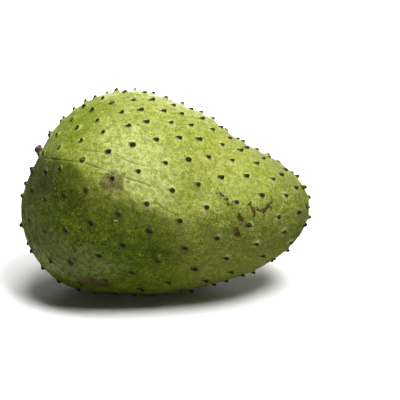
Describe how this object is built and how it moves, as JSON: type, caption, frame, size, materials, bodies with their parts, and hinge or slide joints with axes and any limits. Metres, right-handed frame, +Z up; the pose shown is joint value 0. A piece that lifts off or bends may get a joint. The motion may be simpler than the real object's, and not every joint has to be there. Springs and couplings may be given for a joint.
{
  "type": "soursop",
  "caption": "Whole soursop lying on its side, a lopsided green fruit with short soft spines and a woody stem stub, for display as fresh produce.",
  "frame": {"origin": "on the surface that the fruit rests on, under the centre of its bounding box", "axes": "+X along the fruit from its stem end to its blossom tip, +Z up, -Y towards its more bulging side, which the picture shows"},
  "size_m": [0.2048, 0.1482, 0.1434],
  "materials": {
    "skin": "waxy rind, semi-gloss",
    "stem": "dry bark, matt"
  },
  "bodies": {
    "root": {"fruit": "skin", "stem": "stem"}
  },
  "joints": []
}
